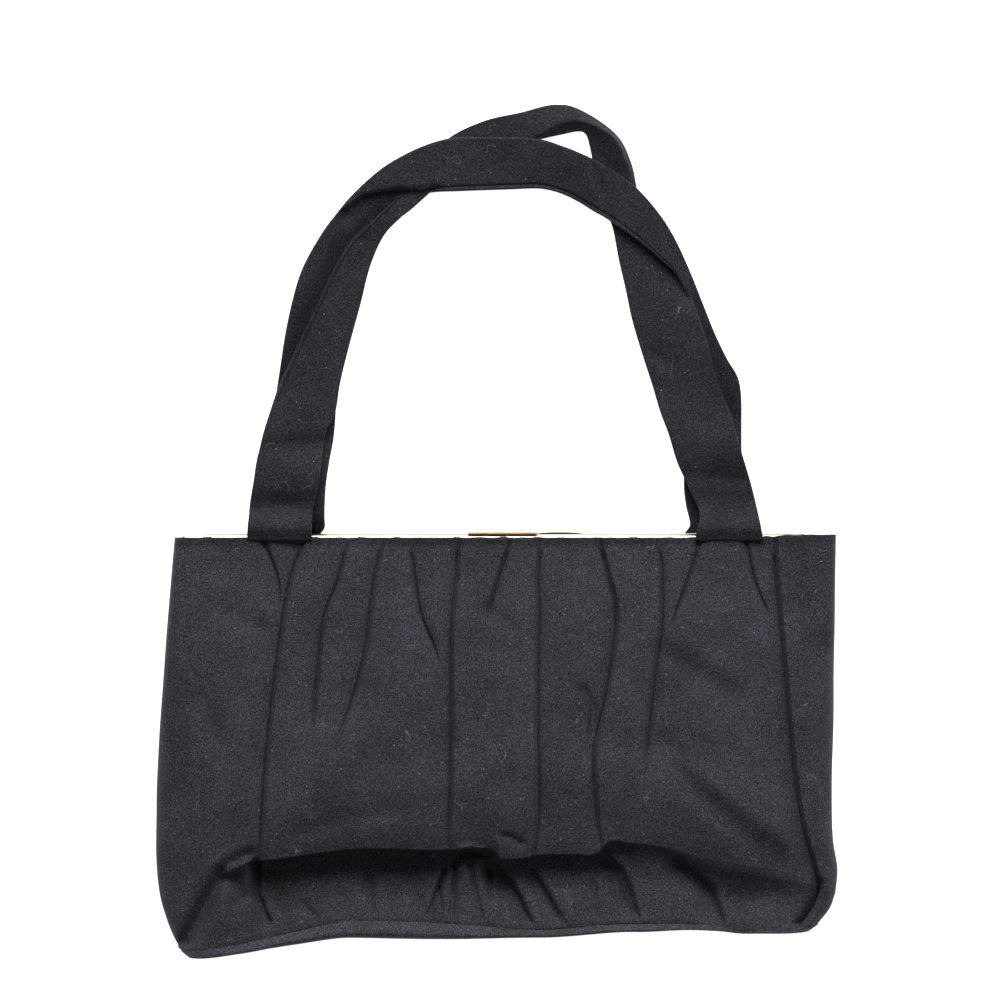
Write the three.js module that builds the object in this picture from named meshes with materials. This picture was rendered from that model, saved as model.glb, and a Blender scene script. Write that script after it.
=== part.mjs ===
// Cocktail handbag of black cloth, lying on its back.
// Millimetres. X runs across the bag, +Y towards the handles, +Z out of the front.
// The origin is on the table, under the middle of the bag's box.
import * as THREE from 'three';

// Cloth and clearance
const CLOTH = 1.6;
const GAP = 0.3;
const SEAM_GROOVE = 1;
const SIDE_SEAM_GAP = 0.6;

// Frame and depth of the bag
const TOP_EDGE_Y = -2.6;
const FRAME_LIP_Y = -1.3;
const FRAME_LEFT = -133.6;
const FRAME_RIGHT = 139.6;
const FRAME_BAR = 7;
const FRAME_ARM = 5;
const FRAME_DROP = 45;
const FRAME_DEPTH = 5.5;
const FRAME_BACK_Z = CLOTH + GAP;
const FRAME_FRONT_Z = FRAME_BACK_Z + FRAME_DEPTH + GAP;
const MOUTH_HEIGHT = FRAME_FRONT_Z + FRAME_DEPTH + GAP + CLOTH;
const HINGE_RADIUS = 2.5;
const CLASP_LEFT = -12.3;
const CLASP_RIGHT = 17;
const CLASP_PLATE = 0.9;
const CLASP_BEAD_RADIUS = 0.8;
const CLASP_BACK_INSET = 1;

// Fullness of the gathered front
const RIDGE_HEIGHT = 34;
const CORNER_HEIGHT = 25;
const GATHER_AT_FRAME = 0.7;
const GATHER_BELOW = 2.6;
const GATHER_FULL_WAY = 0.3;
const PLEAT_REACH = 7;
const PLEAT_FADE_WAY = 0.25;
const SIDE_ROLL_TOP = 2.4;
const SIDE_ROLL_BASE = 12;
const SIDE_ROLL_FULL_WAY = 1.2;
const SHOULDER_X = 104;
const SIDE_X = 144;

// Sides and base
const SIDE_SEAM_SHARE = 0.5;
const GUSSET_END_WAY = 1.94;
const GUSSET_LEVELS = [0, 0.5, 1];
const BASE_LEFT_INSET = 0.02;
const BASE_RIGHT_INSET = 0.12;
const BASE_STEPS = 30;
const BASE_ROUND = [0, 0.3, 0.65, 1];

// Handles
const STRAP_THICKNESS = 3;
const STRAP_EDGE = 1.2;
const STRAP_STEPS = 64;

// Lines that run down the front: both sides and every pleat between them.
// X at the top edge, a third and two thirds of the way to the crease, at the
// crease and at the base seam; fade is where the fold dies out on that way.
const LINES = [
  { line: 'left side', top: -137, upper: -141, lower: -143.9, crease: -137, seam: -130, fade: 0 },
  { line: 'left end pleat', top: -82.7, upper: -92.5, lower: -97.6, crease: -101, seam: -97, fade: 1.2 },
  { line: 'slack pleat', top: -64, upper: -74, lower: -80, crease: -84, seam: -82, fade: 0.7 },
  { line: 'slanted pleat', top: -49.6, upper: -55.6, lower: -65, crease: -69, seam: -68, fade: 0.8 },
  { line: 'tuck to middle', top: -36.9, upper: -30, lower: -34, crease: -38, seam: -42, fade: 0.4 },
  { line: 'left middle pleat', top: -17, upper: -19, lower: -19.5, crease: -20.8, seam: -26, fade: 1.2 },
  { line: 'dent under clasp', top: 5.9, upper: -2.5, lower: -2, crease: -2, seam: -2, fade: 0.36 },
  { line: 'right middle pleat', top: 19.1, upper: 17.4, lower: 17.4, crease: 15.5, seam: 17, fade: 1.1 },
  { line: 'bent pleat', top: 44.1, upper: 49.6, lower: 42, crease: 43.7, seam: 54, fade: 1.2 },
  { line: 'soft pleat', top: 68.7, upper: 68.7, lower: 64, crease: 66, seam: 76, fade: 0.8 },
  { line: 'short tuck', top: 84.4, upper: 80, lower: 88, crease: 92, seam: 98, fade: 0.3 },
  { line: 'right tuck', top: 106, upper: 112.5, lower: 113, crease: 116, seam: 115, fade: 0.3 },
  { line: 'right end pleat', top: 117.5, upper: 121, lower: 124.3, crease: 134, seam: 129, fade: 1.4 },
  { line: 'right side', top: 143, upper: 142.1, lower: 141.6, crease: 144.4, seam: 135.4, fade: 0 },
];

// The crease across the foot of the front, and how far the cloth drops below it.
const CREASE = [
  { x: -137, y: -169, drop: 0 },
  { x: -127, y: -160, drop: 4 },
  { x: -119, y: -147, drop: 7 },
  { x: -108, y: -138, drop: 9 },
  { x: -81, y: -137, drop: 13 },
  { x: -53, y: -134, drop: 14 },
  { x: -21, y: -134.5, drop: 14 },
  { x: 3, y: -138, drop: 11 },
  { x: 33, y: -136.5, drop: 13 },
  { x: 48, y: -132, drop: 14 },
  { x: 73, y: -134.5, drop: 13 },
  { x: 108, y: -143.5, drop: 9 },
  { x: 145, y: -153, drop: 0 },
];

// The base seam, and how far the base stands out beyond it.
const SEAM = [
  { x: -130, y: -177, bulge: 3.4 },
  { x: -110, y: -174.5, bulge: 3.6 },
  { x: -86, y: -169, bulge: 5.6 },
  { x: -62, y: -164.8, bulge: 7 },
  { x: -24, y: -165.6, bulge: 6.6 },
  { x: 18, y: -168, bulge: 3.6 },
  { x: 58, y: -165.6, bulge: 3.9 },
  { x: 94, y: -167, bulge: 2.4 },
  { x: 124, y: -167, bulge: 2.4 },
  { x: 135.4, y: -163.4, bulge: 2.4 },
];

// Rise of the front from the frame to the crease, as shares of way and height.
const RISE = [
  { way: 0, share: 0 },
  { way: 0.03, share: 0.02 },
  { way: 0.08, share: 0.08 },
  { way: 0.16, share: 0.2 },
  { way: 0.27, share: 0.35 },
  { way: 0.4, share: 0.51 },
  { way: 0.54, share: 0.66 },
  { way: 0.68, share: 0.8 },
  { way: 0.8, share: 0.9 },
  { way: 0.9, share: 0.97 },
  { way: 1, share: 1 },
];

// Fall of the cloth from the crease to the base seam, as shares of way and drop.
const FALL = [
  { way: 0, share: 0 },
  { way: 0.05, share: 0.45 },
  { way: 0.13, share: 0.85 },
  { way: 0.3, share: 1 },
  { way: 0.55, share: 0.88 },
  { way: 0.8, share: 0.74 },
  { way: 1, share: 0.66 },
];

// Columns of the wall between two neighbouring lines, in a side's roll and
// beside that roll, as shares of the way across.
const BETWEEN_LINES = [0.18, 0.5, 0.82];
const SIDE_COLUMNS = [0.06, 0.3, 1];
const BESIDE_LEFT_ROLL = [0.5, 0.85];
const BESIDE_RIGHT_ROLL = 0.1;
const WIDEST_RIGHT_ROLL = 0.8;

// Stations along the handles: middle, width on the table and underside.
const FRONT_HANDLE = [
  { at: 'left foot', x: -90.4, y: -4.6, width: 29.5, under: 16.8 },
  { at: 'left bend', x: -90.6, y: 7, width: 27.5, under: 15.6 },
  { at: 'left slope', x: -89, y: 22, width: 27.2, under: 10.6 },
  { at: 'left leg', x: -86.5, y: 37, width: 27.2, under: 6.2 },
  { at: 'over back handle', x: -81.5, y: 55, width: 25, under: 3.7 },
  { at: 'side by side', x: -73.6, y: 77, width: 20.4, under: 3.6 },
  { at: 'left swap', x: -65.3, y: 98, width: 15.5, under: 3.5 },
  { at: 'under back handle', x: -57.8, y: 115, width: 14.5, under: 0 },
  { at: 'left shoulder', x: -47, y: 137, width: 21, under: 0 },
  { at: 'left arch', x: -28, y: 156, width: 21, under: 0 },
  { at: 'arch', x: -4, y: 168.5, width: 16.5, under: 0 },
  { at: 'crown', x: 24, y: 174.3, width: 12.6, under: 0 },
  { at: 'right arch', x: 42, y: 166.5, width: 13.5, under: 0 },
  { at: 'right shoulder', x: 49.5, y: 152, width: 16, under: 0 },
  { at: 'under again', x: 55, y: 135, width: 18, under: 0 },
  { at: 'right swap', x: 61.8, y: 113, width: 17, under: 0 },
  { at: 'out again', x: 67.2, y: 97, width: 20.5, under: 3.6 },
  { at: 'over again', x: 76, y: 76.5, width: 25, under: 3.7 },
  { at: 'right leg', x: 86.5, y: 44.5, width: 27.2, under: 5 },
  { at: 'right slope', x: 92.5, y: 24.5, width: 27.2, under: 10 },
  { at: 'right bend', x: 96.5, y: 7, width: 27.5, under: 15.6 },
  { at: 'right foot', x: 98, y: -4.6, width: 29.5, under: 16.8 },
];
const BACK_HANDLE = [
  { at: 'left foot', x: -86.5, y: -0.9, width: 28, under: 0 },
  { at: 'left leg', x: -86.5, y: 18, width: 27.5, under: 0 },
  { at: 'left bend', x: -85, y: 36, width: 27, under: 0 },
  { at: 'under front handle', x: -81.5, y: 56, width: 25.5, under: 0 },
  { at: 'side by side', x: -81.3, y: 81, width: 16.5, under: 0 },
  { at: 'left swap', x: -77.7, y: 103, width: 9.5, under: 0 },
  { at: 'over front handle', x: -70.2, y: 121, width: 10.5, under: 3.5 },
  { at: 'left shoulder', x: -57.5, y: 136.5, width: 16, under: 3.5 },
  { at: 'left arch', x: -39, y: 150, width: 18.5, under: 3.5 },
  { at: 'arch', x: -17, y: 155.5, width: 21, under: 3.5 },
  { at: 'crown', x: 6, y: 156, width: 21, under: 3.5 },
  { at: 'right arch', x: 28, y: 152.5, width: 19.5, under: 3.5 },
  { at: 'right shoulder', x: 47.5, y: 143.5, width: 18, under: 3.5 },
  { at: 'over once more', x: 65, y: 128.5, width: 14, under: 3.5 },
  { at: 'right swap', x: 77.6, y: 111, width: 8.5, under: 3.5 },
  { at: 'beside front handle', x: 87, y: 88.5, width: 8, under: 0 },
  { at: 'kink', x: 92, y: 63.5, width: 21, under: 0 },
  { at: 'under again', x: 91, y: 41, width: 25, under: 0 },
  { at: 'right leg', x: 93, y: 18, width: 26.5, under: 0 },
  { at: 'right foot', x: 93, y: -0.9, width: 27, under: 0 },
];

const lerp = THREE.MathUtils.lerp;
const smoothstep = THREE.MathUtils.smoothstep;

// Smooth curve through a table's rows, read at one value of its key column.
function along(table, key, column, value) {
  const last = table.length - 1;
  const at = THREE.MathUtils.clamp(value, table[0][key], table[last][key]);
  let i = 0;
  while (i < last - 1 && at > table[i + 1][key]) i += 1;
  const slope = (a, b) => (table[b][column] - table[a][column]) / (table[b][key] - table[a][key]);
  const step = table[i + 1][key] - table[i][key];
  const slopeIn = slope(Math.max(i - 1, 0), i + 1);
  const slopeOut = slope(i, Math.min(i + 2, last));
  const t = (at - table[i][key]) / step;
  const here = (1 + 2 * t) * (1 - t) ** 2 * table[i][column];
  const next = t * t * (3 - 2 * t) * table[i + 1][column];
  const bend = t * (1 - t) * ((1 - t) * slopeIn - t * slopeOut) * step;
  return here + next + bend;
}

// A place on the front is a column of LINES and a way: 0 at the frame,
// 1 at the crease, 2 at the base seam.
function lineX(row, way) {
  const down = [
    { way: 0, x: row.top },
    { way: 1 / 3, x: row.upper },
    { way: 2 / 3, x: row.lower },
    { way: 1, x: row.crease },
    { way: 2, x: row.seam },
  ];
  return along(down, 'way', 'x', way);
}

function columnX(column, way) {
  const i = Math.min(Math.floor(column), LINES.length - 2);
  return lerp(lineX(LINES[i], way), lineX(LINES[i + 1], way), column - i);
}

function wayY(column, way) {
  const creaseY = along(CREASE, 'x', 'y', columnX(column, 1));
  if (way <= 1) return lerp(TOP_EDGE_Y, creaseY, way);
  const seamY = along(SEAM, 'x', 'y', columnX(column, 2));
  return lerp(creaseY, seamY, way - 1);
}

// Height of the cloth without its pleats and without its rolled sides.
function bodyHeight(x, way) {
  const toSide = smoothstep(Math.abs(x), SHOULDER_X, SIDE_X);
  const ridge = lerp(RIDGE_HEIGHT, CORNER_HEIGHT, toSide);
  if (way <= 1) return lerp(MOUTH_HEIGHT, ridge, along(RISE, 'way', 'share', way));
  return ridge - along(CREASE, 'x', 'drop', x) * along(FALL, 'way', 'share', way - 1);
}

// The gathers stand above the body, and each pleat line sinks back down to it.
function gatherHeight(x, way) {
  const fullness = lerp(GATHER_AT_FRAME, GATHER_BELOW, smoothstep(way, 0, GATHER_FULL_WAY));
  let sunk = 0;
  for (const row of LINES) {
    const strength = 1 - smoothstep(way, row.fade - PLEAT_FADE_WAY, row.fade);
    const away = Math.min(Math.abs(x - lineX(row, way)) / PLEAT_REACH, 1);
    sunk = Math.max(sunk, strength * (1 - away) ** 2);
  }
  return fullness * (1 - sunk);
}

// Height of the side seam, where the front meets a gusset.
function sideSeamHeight(x, way) {
  return lerp(bodyHeight(x, way), FRAME_BACK_Z, SIDE_SEAM_SHARE);
}

function rollWidth(way) {
  return lerp(SIDE_ROLL_TOP, SIDE_ROLL_BASE, smoothstep(way, 0, SIDE_ROLL_FULL_WAY));
}

// Point on the outside of the front, rolled down to the side seams.
function frontPoint(column, way) {
  const x = columnX(column, way);
  const y = wayY(column, way);
  const fromLeft = x - lineX(LINES[0], way);
  const fromRight = lineX(LINES[LINES.length - 1], way) - x;
  const rolled = 1 - Math.min(Math.min(fromLeft, fromRight) / rollWidth(way), 1);
  const top = bodyHeight(x, way) + gatherHeight(x, way);
  const z = lerp(sideSeamHeight(x, way), top, Math.sqrt(Math.max(1 - rolled * rolled, 0)));
  return new THREE.Vector3(x, y, z);
}

// Closed mesh from rings or grids of points that share their vertices.
function closedMesh(points, triangles) {
  const geometry = new THREE.BufferGeometry().setFromPoints(points);
  geometry.setIndex(triangles);
  return geometry;
}

// Cloth wall: a grid of points on its outside, rows across and columns along,
// thickened inwards along the grid's own normals.
function clothWall(grid) {
  const rows = grid.length;
  const columns = grid[0].length;
  const inside = grid.map((row, r) => row.map((point, c) => {
    const across = new THREE.Vector3().subVectors(
      row[Math.min(c + 1, columns - 1)], row[Math.max(c - 1, 0)]);
    const down = new THREE.Vector3().subVectors(
      grid[Math.min(r + 1, rows - 1)][c], grid[Math.max(r - 1, 0)][c]);
    const inward = across.cross(down).normalize();
    return point.clone().addScaledVector(inward, CLOTH);
  }));
  const points = [...grid.flat(), ...inside.flat()];
  const outer = (r, c) => r * columns + c;
  const inner = (r, c) => (rows + r) * columns + c;
  const triangles = [];
  const quad = (a, b, c, d) => triangles.push(a, b, c, a, c, d);
  for (let r = 0; r < rows - 1; r += 1) {
    for (let c = 0; c < columns - 1; c += 1) {
      quad(outer(r, c), outer(r + 1, c), outer(r + 1, c + 1), outer(r, c + 1));
      quad(inner(r, c), inner(r, c + 1), inner(r + 1, c + 1), inner(r + 1, c));
    }
  }
  for (let c = 0; c < columns - 1; c += 1) {
    quad(outer(0, c), outer(0, c + 1), inner(0, c + 1), inner(0, c));
    quad(outer(rows - 1, c + 1), outer(rows - 1, c), inner(rows - 1, c), inner(rows - 1, c + 1));
  }
  for (let r = 0; r < rows - 1; r += 1) {
    quad(outer(r + 1, 0), outer(r, 0), inner(r, 0), inner(r + 1, 0));
    quad(outer(r, columns - 1), outer(r + 1, columns - 1), inner(r + 1, columns - 1), inner(r, columns - 1));
  }
  return closedMesh(points, triangles);
}

// Ways down the front, from the frame over the crease to the base seam.
function frontWays() {
  const above = RISE.map((row) => row.way);
  const below = FALL.slice(1).map((row) => 1 + row.way);
  return [...above, ...below];
}

// Columns across the front: every line, a few between, and the rolled sides.
function frontColumns(way) {
  const last = LINES.length - 1;
  const leftPanel = lineX(LINES[1], way) - lineX(LINES[0], way);
  const rightPanel = lineX(LINES[last], way) - lineX(LINES[last - 1], way);
  const leftRoll = rollWidth(way) / leftPanel;
  const rightRoll = Math.min(rollWidth(way) / rightPanel, WIDEST_RIGHT_ROLL);
  const columns = [0];
  for (const share of SIDE_COLUMNS) columns.push(share * leftRoll);
  for (const share of BESIDE_LEFT_ROLL) columns.push(lerp(leftRoll, 1, share));
  for (let i = 1; i < last - 1; i += 1) {
    columns.push(i);
    for (const share of BETWEEN_LINES) columns.push(i + share);
  }
  columns.push(last - 1, last - rightRoll - BESIDE_RIGHT_ROLL);
  for (const share of [...SIDE_COLUMNS].reverse()) columns.push(last - share * rightRoll);
  columns.push(last);
  return columns;
}

function frontPanel() {
  const grid = frontWays().map((way) => frontColumns(way).map((column) => frontPoint(column, way)));
  return clothWall(grid);
}

// A gusset hangs from the side seam of the front down to the back.
const GUSSET_WAYS = [...frontWays().slice(0, -1), GUSSET_END_WAY];

function gusset(column) {
  const grid = GUSSET_WAYS.map((way) => GUSSET_LEVELS.map((level) => {
    const seam = frontPoint(column, way);
    seam.z = lerp(seam.z - SIDE_SEAM_GAP, FRAME_BACK_Z, level);
    return seam;
  }));
  if (column === 0) grid.forEach((row) => row.reverse());
  return clothWall(grid);
}

// The base starts level with the front, rounds over and drops to the back.
function seamRun(step) {
  const last = LINES.length - 1;
  return frontPoint(lerp(BASE_LEFT_INSET, last - BASE_RIGHT_INSET, step / BASE_STEPS), 2);
}

function baseLine(step) {
  const seam = seamRun(step);
  const before = seamRun(Math.max(step - 1, 0));
  const after = seamRun(Math.min(step + 1, BASE_STEPS));
  const outward = new THREE.Vector3(after.y - before.y, before.x - after.x, 0).normalize();
  const bulge = along(SEAM, 'x', 'bulge', seam.x);
  return { seam, outward, bulge };
}

function basePanel() {
  const grid = [...BASE_ROUND, 'table'].map((round) => {
    const row = [];
    for (let step = 0; step <= BASE_STEPS; step += 1) {
      const { seam, outward, bulge } = baseLine(step);
      const turn = (round === 'table' ? 1 : round) * Math.PI / 2;
      const point = seam.clone().addScaledVector(outward, SEAM_GROOVE + bulge * Math.sin(turn));
      point.z = round === 'table' ? FRAME_BACK_Z : seam.z - bulge * (1 - Math.cos(turn));
      row.push(point);
    }
    return row;
  });
  return clothWall(grid);
}

// The back is flat, with the outline of the sides and of the base.
function backPanel() {
  const outline = [];
  for (const way of GUSSET_WAYS) outline.push(frontPoint(0, way));
  for (let step = 0; step <= BASE_STEPS; step += 2) {
    const { seam, outward, bulge } = baseLine(step);
    outline.push(seam.addScaledVector(outward, SEAM_GROOVE + bulge));
  }
  for (const way of [...GUSSET_WAYS].reverse()) outline.push(frontPoint(LINES.length - 1, way));
  outline[0].y = FRAME_LIP_Y - GAP;
  outline[outline.length - 1].y = FRAME_LIP_Y - GAP;
  const shape = new THREE.Shape(outline.map((point) => new THREE.Vector2(point.x, point.y)));
  return new THREE.ExtrudeGeometry(shape, { depth: CLOTH, bevelEnabled: false });
}

// Half of the frame: a bar along the mouth with an arm down each side.
function frameHalf(z) {
  const barFoot = FRAME_LIP_Y - FRAME_BAR;
  const armFoot = FRAME_LIP_Y - FRAME_DROP;
  const shape = new THREE.Shape();
  shape.moveTo(FRAME_LEFT, FRAME_LIP_Y);
  shape.lineTo(FRAME_LEFT, armFoot);
  shape.lineTo(FRAME_LEFT + FRAME_ARM, armFoot);
  shape.lineTo(FRAME_LEFT + FRAME_ARM, barFoot);
  shape.lineTo(FRAME_RIGHT - FRAME_ARM, barFoot);
  shape.lineTo(FRAME_RIGHT - FRAME_ARM, armFoot);
  shape.lineTo(FRAME_RIGHT, armFoot);
  shape.lineTo(FRAME_RIGHT, FRAME_LIP_Y);
  const geometry = new THREE.ExtrudeGeometry(shape, { depth: FRAME_DEPTH, bevelEnabled: false });
  return geometry.translate(0, 0, z);
}

// Hinge barrel across the ends of two frame arms.
function hinge(x) {
  const geometry = new THREE.CylinderGeometry(HINGE_RADIUS, HINGE_RADIUS, FRAME_ARM, 16);
  geometry.rotateZ(Math.PI / 2);
  const y = FRAME_LIP_Y - FRAME_DROP - GAP - HINGE_RADIUS;
  return geometry.translate(x, y, FRAME_FRONT_Z - GAP / 2);
}

// Clasp plate over both frame bars, with a rolled bead along its front.
function clasp() {
  const seat = FRAME_LIP_Y + GAP;
  const beadZ = FRAME_FRONT_Z + FRAME_DEPTH - CLASP_BEAD_RADIUS;
  const shape = new THREE.Shape();
  shape.moveTo(FRAME_BACK_Z + CLASP_BACK_INSET, seat);
  shape.lineTo(beadZ, seat);
  shape.absarc(beadZ, seat + CLASP_BEAD_RADIUS, CLASP_BEAD_RADIUS, -Math.PI / 2, Math.PI * 0.9);
  shape.lineTo(FRAME_BACK_Z + CLASP_BACK_INSET, seat + CLASP_PLATE);
  const depth = CLASP_RIGHT - CLASP_LEFT;
  const geometry = new THREE.ExtrudeGeometry(shape, { depth, bevelEnabled: false, curveSegments: 8 });
  geometry.applyMatrix4(new THREE.Matrix4().makeBasis(
    new THREE.Vector3(0, 0, 1), new THREE.Vector3(0, 1, 0), new THREE.Vector3(-1, 0, 0)));
  return geometry.translate(CLASP_RIGHT, 0, 0);
}

// Strap lofted through its stations, with softened edges.
function strap(stations) {
  const middle = new THREE.CatmullRomCurve3(
    stations.map((row) => new THREE.Vector3(row.x, row.y, row.under)), false, 'centripetal');
  const last = stations.length - 1;
  const points = [];
  const half = STRAP_THICKNESS / 2;
  for (let i = 0; i <= STRAP_STEPS; i += 1) {
    const t = i / STRAP_STEPS;
    const station = Math.min(Math.floor(t * last), last - 1);
    const width = lerp(stations[station].width, stations[station + 1].width, t * last - station);
    const centre = middle.getPoint(t);
    centre.z = Math.max(centre.z, 0) + half;
    const heading = middle.getTangent(t).setZ(0).normalize();
    const across = new THREE.Vector3(heading.y, -heading.x, 0);
    const side = width / 2;
    const section = [
      [side, -half / 2], [side, half / 2], [side - STRAP_EDGE, half], [STRAP_EDGE - side, half],
      [-side, half / 2], [-side, -half / 2], [STRAP_EDGE - side, -half], [side - STRAP_EDGE, -half],
    ];
    for (const [out, up] of section) {
      points.push(centre.clone().addScaledVector(across, out).setZ(centre.z + up));
    }
  }
  const corners = 8;
  const triangles = [];
  for (let i = 0; i < STRAP_STEPS; i += 1) {
    for (let k = 0; k < corners; k += 1) {
      const a = i * corners + k;
      const b = i * corners + (k + 1) % corners;
      triangles.push(a, b + corners, b, a, a + corners, b + corners);
    }
  }
  const end = STRAP_STEPS * corners;
  for (let k = 1; k < corners - 1; k += 1) {
    triangles.push(0, k, k + 1);
    triangles.push(end, end + k + 1, end + k);
  }
  return closedMesh(points, triangles);
}

const blackCloth = new THREE.MeshStandardMaterial({ color: 0x1c1d20, roughness: 0.95, metalness: 0 });
const giltMetal = new THREE.MeshStandardMaterial({ color: 0xd9c08a, roughness: 0.3, metalness: 1 });

const handbag = new THREE.Group();
function add(name, geometry, material) {
  const mesh = new THREE.Mesh(geometry, material);
  mesh.name = name;
  handbag.add(mesh);
}

add('front_panel', frontPanel(), blackCloth);
add('back_panel', backPanel(), blackCloth);
add('base_panel', basePanel(), blackCloth);
add('left_gusset', gusset(0), blackCloth);
add('right_gusset', gusset(LINES.length - 1), blackCloth);
add('frame_front', frameHalf(FRAME_FRONT_Z), giltMetal);
add('frame_back', frameHalf(FRAME_BACK_Z), giltMetal);
add('left_hinge', hinge(FRAME_LEFT + FRAME_ARM / 2), giltMetal);
add('right_hinge', hinge(FRAME_RIGHT - FRAME_ARM / 2), giltMetal);
add('clasp', clasp(), giltMetal);
add('front_handle', strap(FRONT_HANDLE), blackCloth);
add('back_handle', strap(BACK_HANDLE), blackCloth);

export default handbag;
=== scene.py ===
import math

import bmesh
import bpy
import numpy as np
from mathutils import Matrix, Vector, noise


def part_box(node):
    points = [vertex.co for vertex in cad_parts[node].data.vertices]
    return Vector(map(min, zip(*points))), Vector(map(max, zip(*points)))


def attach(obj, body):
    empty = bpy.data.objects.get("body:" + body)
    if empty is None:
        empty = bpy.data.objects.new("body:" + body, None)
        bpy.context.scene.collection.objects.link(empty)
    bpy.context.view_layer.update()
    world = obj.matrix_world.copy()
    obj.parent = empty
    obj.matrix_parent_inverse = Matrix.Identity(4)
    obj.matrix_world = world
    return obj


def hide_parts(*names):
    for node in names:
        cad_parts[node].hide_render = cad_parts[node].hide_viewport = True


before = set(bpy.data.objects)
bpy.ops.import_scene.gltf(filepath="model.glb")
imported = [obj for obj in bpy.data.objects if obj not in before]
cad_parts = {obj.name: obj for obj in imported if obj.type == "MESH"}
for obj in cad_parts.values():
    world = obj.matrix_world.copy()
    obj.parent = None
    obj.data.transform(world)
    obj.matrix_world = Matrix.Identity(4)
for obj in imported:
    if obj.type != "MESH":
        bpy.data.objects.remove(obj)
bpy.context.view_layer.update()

# Front panel: one width of fine black wool crepe, drawn into the frame in small
# pleats at the top and sewn to the base at the foot. Its slack hangs in a belly
# that rolls over in a sharp crease and shows a short band of folds below it.
MM = 0.001
TOP_EDGE_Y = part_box("front_panel")[1].y / MM
MOUTH_HEIGHT = 15.1
RIDGE_HEIGHT = 34
CORNER_HEIGHT = 25
SHOULDER_X = 104
SIDE_X = 144
BACK_SEAM_Z = 1.9
SIDE_SEAM_SHARE = 0.5
SIDE_ROLL_TOP = 2.4
SIDE_ROLL_BASE = 12
SIDE_ROLL_WAYS = (0, 1.2)
FULL_DROP = 14
DROP_FREES_BELLY = 1.3
PUFF_GROWS = (0.02, 0.3)
PUFF_FLATTENS = (1, 1.3)
PUFF_LOSS = 0.6
PLEAT_SLOT = 1.6
PLEAT_SLOT_WIDTH = 0.6
PLEAT_EDGE = 0.9
PLEAT_SLOPE = 5.0
PLEAT_FADES_FROM = 0.7
PLEAT_FADE_END = 0.02
PLEAT_ROOM_AT_FRAME = 2.3
PLEAT_ROOM_BELOW = 8
PLEAT_ROOM_WAYS = (0.03, 0.09)
TUCK_SLOPE = 2.0
TUCK_EVENING = 1.2
HIGH_SIDE = 1.5
LOW_SIDE = 2.2
SEAM_DIP = 0.6
SEAM_DIP_WIDTH = 0.9
SEAM_HOLD = 0.85
SEAM_HOLD_WAYS = (1.82, 2)
SEAM_SHOWS_FROM = (-126, -104)
SEAM_LOST_FROM = (76, 100)

# X of both sides and of every pleat at these ways down the front: 0 is the
# frame, 1 the crease, 2 the base seam. fade is the way at which a pleat dies,
# deep its depth in millimetres, and low the side on which the cloth dips under
# it: -1 for the left, 1 for the right, 0 for a tuck that dips on both.
PLEAT_WAYS = (0, 0.13, 0.25, 0.37, 0.51, 0.7, 0.85, 0.94, 1, 1.5, 2)
CREASE_KNOT = PLEAT_WAYS.index(1)
PLEATS = (
    dict(name="left side", fade=0, deep=0, low=0,
         x=(-136.8, -138.6, -140.2, -141.6, -143.2, -144.4, -144.3, -142.4, -139.3, -137.2, -134.6)),
    dict(name="left tuck", fade=0.27, deep=2.2, low=0,
         x=(-99.8, -92.8, -91.7, -94, -96.4, -99, -100.4, -101.4, -102.2, -100, -98.5)),
    dict(name="left end pleat", fade=1.1, deep=3.6, low=-1,
         x=(-81.5, -87.6, -90.9, -93, -95.4, -98, -99.3, -100.1, -100.8, -98.8, -97)),
    dict(name="slack pleat", fade=0.66, deep=3.6, low=-1,
         x=(-63.4, -67.2, -73.2, -75.3, -77.1, -79, -80, -80.6, -81, -80.4, -80)),
    dict(name="slanted pleat", fade=0.7, deep=3.6, low=-1,
         x=(-48.4, -52, -54.2, -56.2, -61, -70, -73, -73.6, -74, -73.4, -73)),
    dict(name="tuck to middle", fade=0.44, deep=3.6, low=1,
         x=(-37.2, -35, -32.2, -25.7, -21.5, -21.4, -21.6, -22, -22.6, -25.4, -28.5)),
    dict(name="left middle pleat", fade=1.1, deep=3.8, low=-1,
         x=(-17, -17.3, -19, -19.5, -19.5, -19.6, -20, -20.4, -20.8, -23, -26)),
    dict(name="dent under clasp", fade=0.27, deep=3.6, low=1,
         x=(6.8, 0.6, -3.4, -4, -4, -3, -2, -1.4, -1, -1.4, -2)),
    dict(name="right middle pleat", fade=1.15, deep=4.0, low=1,
         x=(19.2, 17.3, 17.7, 17.3, 17.05, 17.4, 17.6, 16.7, 15.4, 15.6, 16)),
    dict(name="bent pleat", fade=1.1, deep=3.8, low=-1,
         x=(42.8, 47.5, 50.4, 49.1, 46.1, 40.9, 41.7, 42.8, 43.9, 51, 58)),
    dict(name="soft pleat", fade=0.85, deep=3.6, low=1,
         x=(68.1, 70, 70, 68.4, 65.9, 63.4, 63.2, 63.5, 64, 71, 78)),
    dict(name="short tuck", fade=0.33, deep=2.4, low=0,
         x=(86.5, 81.4, 75.4, 70.4, 68.2, 66, 66, 66.4, 67, 74, 81)),
    dict(name="right tuck", fade=0.27, deep=2.0, low=0,
         x=(105.2, 109.5, 116.8, 119.7, 121.8, 124.6, 128.6, 132.4, 135, 131.4, 124)),
    dict(name="right end pleat", fade=3, deep=4.6, low=-1,
         x=(117, 118.6, 120.1, 121.7, 123.5, 126.4, 130.3, 134.4, 136.8, 133.3, 126.5)),
    dict(name="right side", fade=0, deep=0, low=0,
         x=(143.9, 143.5, 143.3, 142.9, 142.8, 142, 142.5, 144.4, 143.5, 141, 135.8)),
)
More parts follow.
